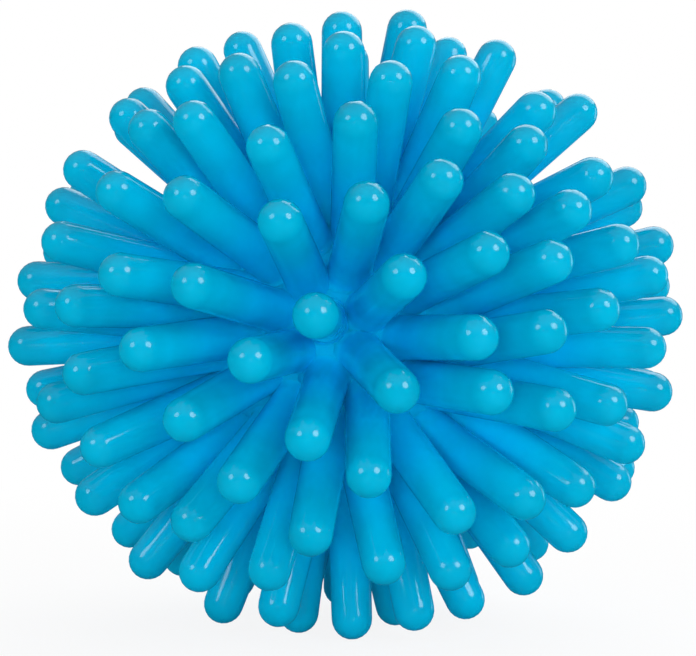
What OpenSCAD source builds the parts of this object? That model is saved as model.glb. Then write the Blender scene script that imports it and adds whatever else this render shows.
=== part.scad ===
// Soft spiky sensory ball: a hollow moulded core that carries flexible fingers on every side.
// Origin on the floor under the ball's centre, +Z up, the photographed side towards -Y.

/* [Ball] */
// Width of the ball over its fingertips
ball_w = 90; // [80:1:120]
// Height of the fingertips' envelope as a share of its width: a soft ball squats on its fingers
squat_share = 0.945; // [0.93:0.005:1]

/* [Fingers] */
// Diameter of a finger at its round tip
tip_d = 5.4; // [4.6:0.1:5.8]
// Diameter of a finger halfway along its shaft
shaft_d = 5; // [4.4:0.1:5.2]
// Diameter of a finger's round root
root_d = 4.2; // [3.6:0.1:4.4]
// Gap between a finger's root and the core, which lets the finger lean
root_gap = 0.4; // [0.35:0.05:0.6]

/* [Core] */
// Outer diameter of the hollow core
core_d = 44; // [42:1:48]
// Thickness of the core's wall
core_wall = 3; // [2:0.25:4]
// Height of the lap where the two halves of the core are bonded
lap_h = 2.4; // [1.5:0.1:4]
// Bond line between the two halves, and round the valve
bond_gap = 0.1; // [0.05:0.01:0.15]

/* [Valve] */
// Diameter of the valve's stem
stem_d = 5; // [4:0.1:5.4]
// How far the stem stands proud of the core
stem_lip = 0.6; // [0.4:0.1:1.2]
// Length of the stem
stem_l = 9; // [8:0.5:12]
// Diameter of the flange that seats the valve against the core's inside
flange_d = 9; // [7:0.5:12]
// Thickness of that flange
flange_t = 1.2; // [0.8:0.1:2]
// Bore that takes an inflating needle
needle_bore_d = 2; // [1.6:0.1:2.4]
// Depth of that bore
needle_bore_l = 7; // [5:0.5:7.5]

/* [Hidden] */
$fn = 64;
// Middle of the fingertips' envelope in the photograph and its half width and half height, in pixels
envelope_mid_px = [346.5, 326];
envelope_half_px = [312, 296];
// Distance of the camera from the ball's centre, as a share of the fingertips' reach
camera_share = 5.2;
// Fingertips lower than this share of their envelope are pressed level with the floor
floor_share = 0.953;
// Place of the middle of a finger's shaft, as a share of its length
shaft_share = 0.5;
// A fingertip marked FAR shows from behind the ball's edge, on its far side
FAR = 1;
// Middle of each fingertip in the photograph, in pixels: each line is a tuft of four, from top to bottom
tuft_px = [
    [[407, 29, FAR], [342, 31], [243, 50, FAR], [145, 106, FAR]],
    [[292, 43], [240, 74], [197, 124], [186, 198]],
    [[416, 46], [460, 76], [460, 130], [513, 195]],
    [[198, 66], [187, 86], [150, 130], [118, 192]],
    [[344, 52], [295, 82], [269, 147], [281, 222]],
    [[496, 59], [577, 113], [626, 186], [653, 246]],
    [[391, 82], [356, 123], [367, 204], [316, 316]],
    [[130, 118], [84, 170], [63, 242], [45, 309]],
    [[526, 146], [592, 178], [647, 276], [662, 316]],
    [[535, 112], [570, 211], [551, 262], [474, 332]],
    [[441, 181], [487, 254], [545, 332], [554, 410]],
    [[65, 206, FAR], [38, 281], [29, 346], [58, 403]],
    [[618, 245], [598, 310], [606, 405], [524, 499]],
    [[121, 275], [142, 350], [186, 420], [240, 482]],
    [[194, 286], [251, 361], [308, 439], [311, 535]],
    [[77, 306], [85, 374], [102, 447], [140, 503]],
    [[404, 277], [397, 391], [369, 478], [384, 564]],
    [[650, 286, FAR], [652, 392], [611, 482], [567, 533]],
    [[645, 348], [624, 444], [574, 487], [511, 546]],
    [[46, 389, FAR], [52, 430], [96, 496], [200, 572]],
    [[494, 399], [454, 513], [450, 570], [414, 611]],
    [[615, 468, FAR], [565, 532, FAR], [523, 576], [465, 600, FAR]],
    [[196, 525], [270, 570], [279, 607], [352, 620]],
    [[149, 560], [224, 604], [299, 622], [395, 616, FAR]],
];

// Reach of the fingertips' middles from the ball's centre, sideways and upwards
tip_reach = (ball_w - tip_d) / 2;
tip_reach_z = tip_reach * squat_share;
// Height of the ball's centre above the floor that its lowest fingertips stand on
centre_z = floor_share * tip_reach_z + tip_d / 2;
core_r = core_d / 2;
cavity_r = core_r - core_wall;
lap_r = core_r - core_wall / 2;
// Distance of a root's middle from the ball's centre
root_at = core_r + root_gap + root_d / 2;
stem_top = core_r + stem_lip;
stem_hole_r = stem_d / 2 + bond_gap;
// Height at which the valve's flange meets the round inside of the core
flange_top = sqrt(cavity_r ^ 2 - (flange_d / 2) ^ 2) - bond_gap;

function tuft_name(side, i) = str(side, "_tuft_", i < 9 ? "0" : "", i + 1);

// Point that the photograph shows at a pixel, on a ball of unit radius or, past its edge, further out
function seen_point(px) =
    let (
        u = (px.x - envelope_mid_px.x) / envelope_half_px.x,
        v = (envelope_mid_px.y - px.y) / envelope_half_px.y,
        out = norm([u, v]),
        slope = min(out, 1) / sqrt(camera_share ^ 2 - 1),
        spread = 1 + slope ^ 2,
        half_chord = sqrt(max(camera_share ^ 2 - spread * (camera_share ^ 2 - 1), 0)),
        depth = (camera_share + (px[2] == FAR ? half_chord : -half_chord)) / spread,
        turn = atan2(v, u)
    )
    max(out, 1) * [depth * slope * cos(turn), depth - camera_share, depth * slope * sin(turn)];

// Middle of a fingertip, measured from the ball's centre
function tip_at(px) =
    let (p = seen_point(px))
    [tip_reach * p.x, tip_reach * p.y, tip_reach_z * max(p.z, -floor_share)];

// Middle of that finger's root
function root_of(tip) = tip * root_at / norm(tip);

// Line that a tuft leans about: it runs up through the middle of the four roots
function lean_line(roots) =
    let (up = roots[0] + roots[1] - roots[2] - roots[3])
    [(roots[0] + roots[1] + roots[2] + roots[3]) / len(roots) + [0, 0, centre_z], up / norm(up)];

// Half of the section through a finger, root at the bottom
module finger_half(reach) {
    shaft_at = root_at + shaft_share * (reach - root_at);
    intersection() {
        union() {
            translate([0, root_at]) circle(d = root_d);
            translate([0, reach]) circle(d = tip_d);
            polygon([
                [0, root_at], [root_d / 2, root_at], [shaft_d / 2, shaft_at], [tip_d / 2, reach], [0, reach]
            ]);
        }
        square([tip_d + root_d, reach + tip_d]);
    }
}

// One finger, straight out from the ball's centre to its tip
module finger(tip) {
    rotate([0, acos(tip.z / norm(tip)), atan2(tip.y, tip.x)])
        rotate_extrude() finger_half(norm(tip));
}

// Four neighbouring fingers that lean together
module tuft(row_px) {
    color([0, 0.66, 0.84])
        translate([0, 0, centre_z])
            for (px = row_px) finger(tip_at(px));
}

// The same tuft on the back, which is the front turned half a turn
module back_tuft(row_px) {
    rotate([0, 0, 180]) tuft(row_px);
}

// Half of the section through the core's wall
module core_half_section() {
    difference() {
        circle(r = core_r);
        circle(r = cavity_r);
    }
}

// Upper half of the core, recessed inside for the lap and open at the top for the valve
module upper_shell() {
    color([0, 0.5, 0.72])
        translate([0, 0, centre_z])
            rotate_extrude() difference() {
                intersection() {
                    core_half_section();
                    square([core_r, core_r]);
                }
                square([lap_r + bond_gap / 2, lap_h + bond_gap]);
                square([stem_hole_r, core_r]);
            }
}

// Lower half of the core, with the tongue of the lap
module lower_shell() {
    color([0, 0.46, 0.68])
        translate([0, 0, centre_z])
            rotate_extrude() intersection() {
                core_half_section();
                union() {
                    translate([0, -core_r]) square([core_r, core_r - bond_gap]);
                    translate([0, -core_r]) square([lap_r - bond_gap / 2, core_r + lap_h]);
                }
            }
}

// Self-sealing valve in the top of the core, with a blind bore for a needle
module needle_valve() {
    color([0.1, 0.36, 0.6])
        translate([0, 0, centre_z])
            rotate_extrude() difference() {
                union() {
                    translate([0, stem_top - stem_l]) square([stem_d / 2, stem_l]);
                    translate([0, flange_top - flange_t]) square([flange_d / 2, flange_t]);
                }
                translate([0, stem_top - needle_bore_l]) square([needle_bore_d / 2, needle_bore_l]);
            }
}

// Middle and direction of each tuft's lean line, printed for the joints
for (i = [0 : len(tuft_px) - 1])
    echo(tuft = i + 1, line = lean_line([for (px = tuft_px[i]) root_of(tip_at(px))]));

upper_shell();
lower_shell();
needle_valve();
for (i = [0 : len(tuft_px) - 1]) {
    tuft(tuft_px[i]);
    back_tuft(tuft_px[i]);
}
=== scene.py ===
"""Soft spiky ball: glossy vinyl fingers moulded on a hollow core, in a bright studio."""
import math

import bmesh
import bpy
import numpy as np
from mathutils import Matrix, Vector


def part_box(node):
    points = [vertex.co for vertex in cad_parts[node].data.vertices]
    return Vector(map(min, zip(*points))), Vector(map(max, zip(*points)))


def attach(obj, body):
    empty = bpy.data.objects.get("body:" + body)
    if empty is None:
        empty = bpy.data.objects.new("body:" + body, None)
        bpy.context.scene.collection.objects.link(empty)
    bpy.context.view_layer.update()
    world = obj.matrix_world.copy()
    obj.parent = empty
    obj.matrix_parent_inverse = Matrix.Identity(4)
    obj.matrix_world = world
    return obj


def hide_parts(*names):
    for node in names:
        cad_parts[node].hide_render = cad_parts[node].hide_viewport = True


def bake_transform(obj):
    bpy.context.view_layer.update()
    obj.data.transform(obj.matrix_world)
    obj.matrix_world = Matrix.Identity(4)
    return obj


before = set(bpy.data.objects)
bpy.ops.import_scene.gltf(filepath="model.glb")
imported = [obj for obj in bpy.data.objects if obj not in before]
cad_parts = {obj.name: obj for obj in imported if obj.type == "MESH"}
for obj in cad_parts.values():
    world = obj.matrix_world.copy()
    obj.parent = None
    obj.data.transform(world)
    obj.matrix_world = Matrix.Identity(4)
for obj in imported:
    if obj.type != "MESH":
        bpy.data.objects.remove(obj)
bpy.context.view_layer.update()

MM = 0.001

# The ball as the frame gives it
core_low, core_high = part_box("lower_shell")
CORE_R = (core_high.x - core_low.x) / 2
CENTRE = Vector((0, 0, core_low.z + CORE_R))
valve_low, valve_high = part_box("needle_valve")
TUFTS = sorted(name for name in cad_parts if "_tuft_" in name)
# Half angle of the cone, from the ball's centre, that holds one finger of the frame
FINGER_HALF_ANGLE = math.radians(5.3)

# Radius of a finger at its round tip, halfway along and just above its foot
TIP_R = 2.65 * MM
SHAFT_R = 2.76 * MM
FOOT_R = 2.82 * MM
# Fillet round the foot, and how deep the foot sits in the core
FOOT_FILLET = 1.2 * MM
FOOT_SUNK = 0.45 * MM
# Feet closer than this slide apart, at each step by a share of what is missing
FOOT_SPACING = 5.6 * MM
FOOT_PUSH = 0.25
FOOT_STEPS = 60
FINGER_SIDES = 20
TIP_RINGS = 6
SHAFT_RINGS = 4
FILLET_RINGS = 2
# Fingers that the photograph shows leaning, in pixels: the tip, and how far the shaft's middle stands aside
LEANING_PX = [
    ((496, 59), (6, 2)), ((526, 146), (8, 5)), ((513, 195), (6, 7)), ((570, 211), (4, 8)),
    ((441, 181), (3, 2)), ((197, 124), (-4, 3)), ((240, 74), (-5, 2)), ((269, 147), (-5, 2)),
    ((281, 222), (-5, 3)), ((391, 82), (4, 1)), ((367, 204), (3, 0)), ((251, 361), (3, 9)),
    ((545, 332), (0, 4)), ((474, 332), (0, 7)), ((494, 399), (-4, 9)), ((554, 410), (-5, 11)),
    ((606, 405), (-1, 3)), ((624, 444), (-2, 6)), ((524, 499), (-4, 4)), ((308, 439), (-1, 0)),
    ((450, 570), (3, -1)), ((454, 513), (6, -3)), ((369, 478), (8, -1)), ((240, 482), (-3, -2)),
    ((121, 275), (1, -4)), ((142, 350), (1, 4)), ((186, 420), (-5, -9)), ((196, 525), (-4, -3)),
    ((224, 604), (-4, -2)), ((84, 170), (-3, 5)), ((592, 178), (-2, -4)),
]
# Fingertips that stand a little aside of their solids, in pixels
TIP_SHIFTS_PX = [
    ((474, 332), (2, 6)), ((494, 399), (-3, -6)), ((369, 478), (0, -2)),
    ((511, 546), (-2, 1)), ((196, 525), (-3, -4)), ((197, 124), (-2, -2)),
]
# A tip this close to a listed pixel is the one that is meant
SAME_TIP_PX = 8

# Core: its halves run from the equator to the valve's hole and to the lower pole, in degrees
CORE_WALL = 3 * MM
CORE_SIDES = 96
CORE_RINGS = 40
CORE_TOP = 84
CORE_BOTTOM = -90

# Valve
VALVE_SIDES = 48
STEM_R = 2.5 * MM
STEM_RIM = 0.35 * MM
BORE_R = 1 * MM
BORE_DEPTH = 7 * MM
DISH_DEPTH = 0.3 * MM
FLANGE_THICK = 1.2 * MM
BOND_GAP = 0.1 * MM
# The stem's rim rolls over by this many degrees, down into the dish
RIM_TURN = 140
RIM_RINGS = 6
BORE_EDGE_RINGS = 4
SHARP_EDGE = math.radians(40)

# Points of a piece closer than this are one point
MERGE_GAP = 0.001 * MM

# Blues from the core, at 0, to the fingertips, at 1: lighter near the core, painted light that offsets the
# shade between the fingers and stands in for light that seeps through the vinyl
TIP_REACH = 44 * MM
FINGER_BLUES_WITH_PAINTED_LIGHT = [
    (0.0, (0.0, 0.58, 0.94)), (0.35, (0.0, 0.525, 0.88)),
    (0.8, (0.0, 0.46, 0.7)), (1.0, (0.0, 0.385, 0.59)),
]
# The core's blue is lighter than the fingertips': painted light that offsets the shade between the fingers,
# as at the finger roots
CORE_BLUES_WITH_PAINTED_LIGHT = [(0.0, (0.0, 0.53, 0.88))]
VALVE_BLUES = [(0.0, (0.0, 0.25, 0.55))]
# Most of a noise lies in this span
NOISE_SPAN = (0.3, 0.7)
NOISE_DETAIL = 2
CLOUD_SCALE = 160
CLOUD_TONES = (0.93, 1.06)
GLOSS_SCALE = 420
GLOSS_SPREAD = (-0.03, 0.04)
BUMP_SCALE = 900
BUMP_DETAIL = 3
BUMP_STRENGTH = 0.12
BUMP_HEIGHT = 0.1 * MM
# Light scattered under the surface, and how far red, green and blue reach
SCATTER_WEIGHT = 0.25
SCATTER_DEPTH = 1.5 * MM
SCATTER_REACH = (0.3, 1, 1)

# Camera, from the photograph's own frame of 696 by 656 pixels
PHOTO_W, PHOTO_H = 696, 656
BALL_MID_PX = (346.5, 326)
FOCAL_PX = 1592
CAMERA_AWAY = 220 * MM
NEAREST_SEEN = 1 * MM
SENSOR_W = 36

# Floor, in metres: to the eye it is white, apart from a shadow that fades out round the ball
FLOOR_HALF = 6
FLOOR_TONE = (0.96, 0.96, 0.96)
FLOOR_ROUGHNESS = 0.9
SHADOW_REACH = 0.2
SHADOW_WHITE = 0.88

# Studio room: white to the eye, with an even light all round
WHITE = (1, 1, 1)
AMBIENT = (0.34, 0.34, 0.34)
# What reflections see: a dim room, a paler ceiling, and a backdrop that is blue near the floor
ROOM_GLOW = (0.01, 0.015, 0.02)
CEILING_GLOW = (0.3, 0.3, 0.3)
BACKDROP_GLOW = (0.3, 0.3, 0.3)
LOW_BACKDROP_GLOW = (0.015, 0.18, 0.3)
# Where each of these sets in and is complete, as a share of the way straight up or straight back
CEILING_EDGE = (0.25, 0.8)
BACKDROP_EDGE = (0.55, 0.9)
LOW_BACKDROP_EDGE = (0.1, 0.3)

# Lamps: azimuth from the camera's side, positive to its right, elevation, size in metres and watts
LAMP_AWAY = 0.6
LAMPS = [
    ("left_lamp", -42, 22, (0.24, 0.24), 0.45),
    ("right_lamp", 43, 25, (0.3, 0.3), 1.05),
    ("back_lamp", 150, 47, (0.8, 0.5), 1.9),
    ("right_back_lamp", 122, 5, (0.16, 0.3), 0.15),
]
# Low lamps that lighten the ball's underside and don't show in reflections
FILL_LAMPS = [
    ("front_fill_lamp", 0, 2, (0.5, 0.12), 1.6),
    ("left_fill_lamp", -120, 2, (0.5, 0.12), 1.2),
    ("right_fill_lamp", 120, 2, (0.5, 0.12), 1.1),
]


def arc(mid_r, mid_s, radius, start, stop, steps):
    """Points of an arc in a half section, as radius from the axis and distance along it."""
    angles = [math.radians(start + (stop - start) * i / steps) for i in range(steps + 1)]
    return [(mid_r + radius * math.cos(a), mid_s + radius * math.sin(a)) for a in angles]


def spin_section(bm, section, place, sides):
    """Spins a half section about the place's own Z axis into a closed skin."""
    verts = [bm.verts.new(place @ Vector((r, 0, s))) for r, s in section]
    edges = [bm.edges.new(pair) for pair in zip(verts, verts[1:])]
    bmesh.ops.spin(
        bm, geom=verts + edges, cent=place.translation, axis=place.to_3x3() @ Vector((0, 0, 1)),
        angle=2 * math.pi, steps=sides, use_merge=True,
    )


def finished(name, bm, material):
    """Merges what a spin leaves at the poles, turns the faces outwards and makes the piece."""
    bmesh.ops.remove_doubles(bm, verts=bm.verts, dist=MERGE_GAP)
    bmesh.ops.recalc_face_normals(bm, faces=bm.faces)
    for face in bm.faces:
        face.smooth = True
    mesh = bpy.data.meshes.new(name)
    bm.to_mesh(mesh)
    bm.free()
    mesh.materials.append(material)
    piece = bpy.data.objects.new(name, mesh)
    bpy.context.scene.collection.objects.link(piece)
    return piece


def fingers_of(node):
    """Direction and full reach of each finger in a tuft, from the farthest point of its tip."""
    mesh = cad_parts[node].data
    points = np.empty(3 * len(mesh.vertices))
    mesh.vertices.foreach_get("co", points)
    points = points.reshape(-1, 3) - np.array(CENTRE)
    found = []
    while len(points):
        away = np.linalg.norm(points, axis=1)
        way = points[away.argmax()] / away.max()
        found.append((Vector(way), float(away.max())))
        points = points[points @ way < away * math.cos(FINGER_HALF_ANGLE)]
    return found


def photo_shift(tip_px, rows):
    """Shift in pixels, to the right and up, that a list gives to the finger whose tip shows at a pixel."""
    for known_px, shift_px in rows:
        if (tip_px - Vector(known_px)).length < SAME_TIP_PX:
            return Vector((shift_px[0], 0, -shift_px[1]))
    return Vector((0, 0, 0))


def lines_of(node):
    """Tip and foot of each finger of a tuft, from the ball's centre. The back is the front turned round."""
    turn = Matrix.Rotation(math.pi if node.startswith("rear") else 0, 3, "Z")
    found = []
    for way, end in fingers_of(node):
        tip = turn @ way * (end - TIP_R)
        per_px = (CAMERA_AWAY + tip.y) / FOCAL_PX
        tip_px = Vector((BALL_MID_PX[0] + tip.x / per_px, BALL_MID_PX[1] - tip.z / per_px))
        # The foot of a straight finger stands aside twice as far as its middle
        foot = tip.normalized() * CORE_R + 2 * photo_shift(tip_px, LEANING_PX) * per_px
        tip += photo_shift(tip_px, TIP_SHIFTS_PX) * per_px
        found.append((node, turn @ tip, turn @ foot))
    return found


def spread_feet(lines):
    """Slides the feet over the core until neighbours stand apart."""
    feet = np.array([foot for node, tip, foot in lines])
    for _ in range(FOOT_STEPS):
        feet *= CORE_R / np.linalg.norm(feet, axis=1, keepdims=True)
        apart = feet[:, None] - feet[None]
        distance = np.linalg.norm(apart, axis=2) + np.eye(len(feet))
        push = np.clip(FOOT_SPACING - distance, 0, None) / distance
        np.fill_diagonal(push, 0)
        feet += FOOT_PUSH * (apart * push[:, :, None]).sum(axis=1)
    return [(node, tip, Vector(foot)) for (node, tip, old_foot), foot in zip(lines, feet)]


def finger_section(length, sunk):
    """Half section of a finger from its foot up: fillet, slightly conical shaft and round tip."""
    shaft_start = FOOT_FILLET - sunk
    section = [(0, -sunk)]
    section += arc(FOOT_R + FOOT_FILLET, shaft_start, FOOT_FILLET, 270, 180, FILLET_RINGS)
    for i in range(1, SHAFT_RINGS):
        share = i / SHAFT_RINGS
        lower, upper = min(2 * share, 1), max(2 * share - 1, 0)
        radius = FOOT_R + (SHAFT_R - FOOT_R) * lower + (TIP_R - SHAFT_R) * upper
        section.append((radius, shaft_start + share * (length - shaft_start)))
    section += arc(0, length, TIP_R, 0, 90, TIP_RINGS)
    section[-1] = (0, length + TIP_R)
    return section


def add_finger(bm, tip, foot):
    """Spins one finger on its line from foot to tip."""
    line = tip - foot
    place = Matrix.Translation(CENTRE + foot) @ line.to_track_quat("Z", "X").to_matrix().to_4x4()
    sunk = FOOT_SUNK + (FOOT_R + FOOT_FILLET) * math.sin(line.angle(foot))
    spin_section(bm, finger_section(line.length, sunk), place, FINGER_SIDES)


def make_tuft(node, lines, material):
    """Four fingers in one piece."""
    bm = bmesh.new()
    middle = Vector((0, 0, 0))
    for owner, tip, foot in lines:
        if owner == node:
            add_finger(bm, tip, foot)
            middle += tip
    piece = finished(node + "_fingers", bm, material)
    middle.normalize()
    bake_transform(piece)
    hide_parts(node)


def make_core(name, node, stop, material):
    """One half of the hollow core, from its equator: outer dome, rim and inner dome."""
    bm = bmesh.new()
    outer = arc(0, 0, CORE_R, 0, stop, CORE_RINGS)
    inner = arc(0, 0, CORE_R - CORE_WALL, stop, 0, CORE_RINGS)
    spin_section(bm, outer + inner + outer[:1], Matrix.Translation(CENTRE), CORE_SIDES)
    piece = finished(name, bm, material)
    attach(piece, "core")
    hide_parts(node)


def make_valve(material):
    """Valve plug: a stem with a flange inside the core, and a dished top round the needle bore."""
    bm = bmesh.new()
    top = valve_high.z
    flange_r = (valve_high.x - valve_low.x) / 2
    flange_top = CENTRE.z + math.sqrt((CORE_R - CORE_WALL) ** 2 - flange_r ** 2) - BOND_GAP
    section = [
        (0, valve_low.z), (STEM_R, valve_low.z), (STEM_R, flange_top - FLANGE_THICK),
        (flange_r, flange_top - FLANGE_THICK), (flange_r, flange_top), (STEM_R, flange_top),
    ]
    section += arc(STEM_R - STEM_RIM, top - STEM_RIM, STEM_RIM, 0, RIM_TURN, RIM_RINGS)
    section += arc(BORE_R + STEM_RIM, top - DISH_DEPTH - STEM_RIM, STEM_RIM, 90, 180, BORE_EDGE_RINGS)
    section += [(BORE_R, top - BORE_DEPTH), (0, top - BORE_DEPTH)]
    spin_section(bm, section, Matrix.Identity(4), VALVE_SIDES)
    piece = finished("valve_plug", bm, material)
    piece.data.set_sharp_from_angle(angle=SHARP_EDGE)
    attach(piece, "core")
    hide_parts("needle_valve")


class Tree:
    """The shader nodes of a material or a world, with a short way to add and link them."""

    def __init__(self, owner):
        owner.use_nodes = True
        self.nodes = owner.node_tree.nodes
        self.links = owner.node_tree.links

    def add(self, kind, **settings):
        node = self.nodes.new("ShaderNode" + kind)
        for key, value in settings.items():
            setattr(node, key, value)
        return node

    def link(self, source, target):
        self.links.new(source, target)

    def noise(self, where, scale, detail=NOISE_DETAIL):
        node = self.add("TexNoise")
        node.inputs["Scale"].default_value = scale
        node.inputs["Detail"].default_value = detail
        self.link(where, node.inputs["Vector"])
        return node.outputs["Fac"]

    def graded(self, value, span, to_span=(0, 1)):
        node = self.add("MapRange")
        for socket, number in zip(node.inputs[1:5], (*span, *to_span)):
            socket.default_value = number
        self.link(value, node.inputs["Value"])
        return node.outputs["Result"]

    def mixed(self, share, low, high):
        node = self.add("Mix", data_type="RGBA")
        self.link(share, node.inputs["Factor"])
        # A Mix node's inputs 6 and 7 and its output 2 are the ones for colours
        for socket, colour in zip(node.inputs[6:8], (low, high)):
            if isinstance(colour, tuple):
                socket.default_value = (*colour, 1)
            else:
                self.link(colour, socket)
        return node.outputs[2]


def vinyl(name, blues, roughness, specular):
    """Soft vinyl, slightly cloudy and uneven in gloss. Its blue changes with distance from the centre; the
    finger and core blues paint light into the shade near the core.
    """
    material = bpy.data.materials.new(name)
    tree = Tree(material)
    shader = tree.nodes["Principled BSDF"]
    where = tree.add("TexCoord").outputs["Object"]
    away = tree.add("VectorMath", operation="DISTANCE")
    tree.link(where, away.inputs[0])
    away.inputs[1].default_value = CENTRE
    ramp = tree.add("ValToRGB")
    ramp.color_ramp.interpolation = "EASE"
    stops = ramp.color_ramp.elements
    stops.remove(stops[-1])
    stops[0].position, first_blue = blues[0]
    stops[0].color = (*first_blue, 1)
    for position, blue in blues[1:]:
        stops.new(position).color = (*blue, 1)
    tree.link(tree.graded(away.outputs["Value"], (CORE_R, TIP_REACH)), ramp.inputs["Fac"])
    tone = tree.add("HueSaturation")
    tree.link(ramp.outputs["Color"], tone.inputs["Color"])
    tree.link(tree.graded(tree.noise(where, CLOUD_SCALE), NOISE_SPAN, CLOUD_TONES), tone.inputs["Value"])
    tree.link(tone.outputs["Color"], shader.inputs["Base Color"])
    gloss_span = [roughness + change for change in GLOSS_SPREAD]
    gloss = tree.graded(tree.noise(where, GLOSS_SCALE), NOISE_SPAN, gloss_span)
    tree.link(gloss, shader.inputs["Roughness"])
    bump = tree.add("Bump")
    bump.inputs["Strength"].default_value = BUMP_STRENGTH
    bump.inputs["Distance"].default_value = BUMP_HEIGHT
    tree.link(tree.noise(where, BUMP_SCALE, BUMP_DETAIL), bump.inputs["Height"])
    tree.link(bump.outputs["Normal"], shader.inputs["Normal"])
    shader.inputs["Specular IOR Level"].default_value = specular
    shader.inputs["Subsurface Weight"].default_value = SCATTER_WEIGHT
    shader.inputs["Subsurface Radius"].default_value = SCATTER_REACH
    shader.inputs["Subsurface Scale"].default_value = SCATTER_DEPTH
    return material


def make_floor():
    """Pale studio floor that keeps a faint shadow."""
    bm = bmesh.new()
    bmesh.ops.create_grid(bm, x_segments=1, y_segments=1, size=FLOOR_HALF)
    material = bpy.data.materials.new("studio_floor")
    tree = Tree(material)
    shader = tree.nodes["Principled BSDF"]
    shader.inputs["Base Color"].default_value = (*FLOOR_TONE, 1)
    shader.inputs["Roughness"].default_value = FLOOR_ROUGHNESS
    shader.inputs["Specular IOR Level"].default_value = 0
    away = tree.add("VectorMath", operation="LENGTH")
    tree.link(tree.add("TexCoord").outputs["Object"], away.inputs[0])
    fade = tree.graded(away.outputs["Value"], (CORE_R, SHADOW_REACH), (SHADOW_WHITE, 1))
    seen = tree.add("Math", operation="MULTIPLY")
    tree.link(tree.add("LightPath").outputs["Is Camera Ray"], seen.inputs[0])
    tree.link(fade, seen.inputs[1])
    mix = tree.add("MixShader")
    tree.link(seen.outputs["Value"], mix.inputs["Fac"])
    tree.link(shader.outputs["BSDF"], mix.inputs[1])
    tree.link(tree.add("Emission").outputs["Emission"], mix.inputs[2])
    tree.link(mix.outputs["Shader"], tree.nodes["Material Output"].inputs["Surface"])
    floor = finished("studio_floor", bm, material)
    floor.visible_glossy = False


def make_world():
    """White to the eye, even light all round, and a dim room in reflections."""
    world = bpy.data.worlds.new("studio")
    bpy.context.scene.world = world
    tree = Tree(world)
    path = tree.add("LightPath")
    way = tree.add("SeparateXYZ")
    tree.link(tree.add("TexCoord").outputs["Generated"], way.inputs["Vector"])
    up, back = way.outputs["Z"], way.outputs["Y"]
    room = tree.mixed(tree.graded(up, CEILING_EDGE), ROOM_GLOW, CEILING_GLOW)
    backdrop = tree.mixed(tree.graded(up, LOW_BACKDROP_EDGE), LOW_BACKDROP_GLOW, BACKDROP_GLOW)
    room = tree.mixed(tree.graded(back, BACKDROP_EDGE), room, backdrop)
    glow = tree.mixed(path.outputs["Is Glossy Ray"], AMBIENT, room)
    glow = tree.mixed(path.outputs["Is Transmission Ray"], glow, WHITE)
    glow = tree.mixed(path.outputs["Is Camera Ray"], glow, WHITE)
    tree.link(glow, tree.nodes["Background"].inputs["Color"])


def make_lamp(name, azimuth, elevation, size, watts, reflected):
    """Soft lamp that looks at the ball's centre."""
    light = bpy.data.lights.new(name, "AREA")
    light.shape = "ELLIPSE"
    light.size, light.size_y = size
    light.energy = watts
    lamp = bpy.data.objects.new(name, light)
    a, e = math.radians(azimuth), math.radians(elevation)
    way = Vector((math.sin(a) * math.cos(e), -math.cos(a) * math.cos(e), math.sin(e)))
    lamp.location = CENTRE + LAMP_AWAY * way
    lamp.rotation_euler = (-way).to_track_quat("-Z", "Y").to_euler()
    lamp.visible_glossy = reflected
    bpy.context.scene.collection.objects.link(lamp)


def make_camera():
    """Camera level with the ball's centre, at the photograph's distance and framing."""
    data = bpy.data.cameras.new("camera")
    data.sensor_fit = "HORIZONTAL"
    data.sensor_width = SENSOR_W
    data.lens = FOCAL_PX / PHOTO_W * SENSOR_W
    data.clip_start = NEAREST_SEEN
    camera = bpy.data.objects.new("camera", data)
    per_px = CAMERA_AWAY / FOCAL_PX
    aside = (PHOTO_W / 2 - BALL_MID_PX[0]) * per_px
    below = (PHOTO_H / 2 - BALL_MID_PX[1]) * per_px
    camera.location = CENTRE + Vector((aside, -CAMERA_AWAY, -below))
    camera.rotation_euler = (math.pi / 2, 0, 0)
    bpy.context.scene.collection.objects.link(camera)
    bpy.context.scene.camera = camera


finger_finish = vinyl("finger_vinyl", FINGER_BLUES_WITH_PAINTED_LIGHT, roughness=0.1, specular=0.5)
core_finish = vinyl("core_vinyl", CORE_BLUES_WITH_PAINTED_LIGHT, roughness=0.6, specular=0.05)
valve_finish = vinyl("valve_rubber", VALVE_BLUES, roughness=0.35, specular=0.4)

finger_lines = spread_feet([line for tuft in TUFTS for line in lines_of(tuft)])
for tuft in TUFTS:
    make_tuft(tuft, finger_lines, finger_finish)
make_core("core_upper", "upper_shell", CORE_TOP, core_finish)
make_core("core_lower", "lower_shell", CORE_BOTTOM, core_finish)
make_valve(valve_finish)

make_floor()
make_world()
for lamp_row in LAMPS:
    make_lamp(*lamp_row, reflected=True)
for lamp_row in FILL_LAMPS:
    make_lamp(*lamp_row, reflected=False)
make_camera()
bpy.context.scene.view_settings.view_transform = "Standard"
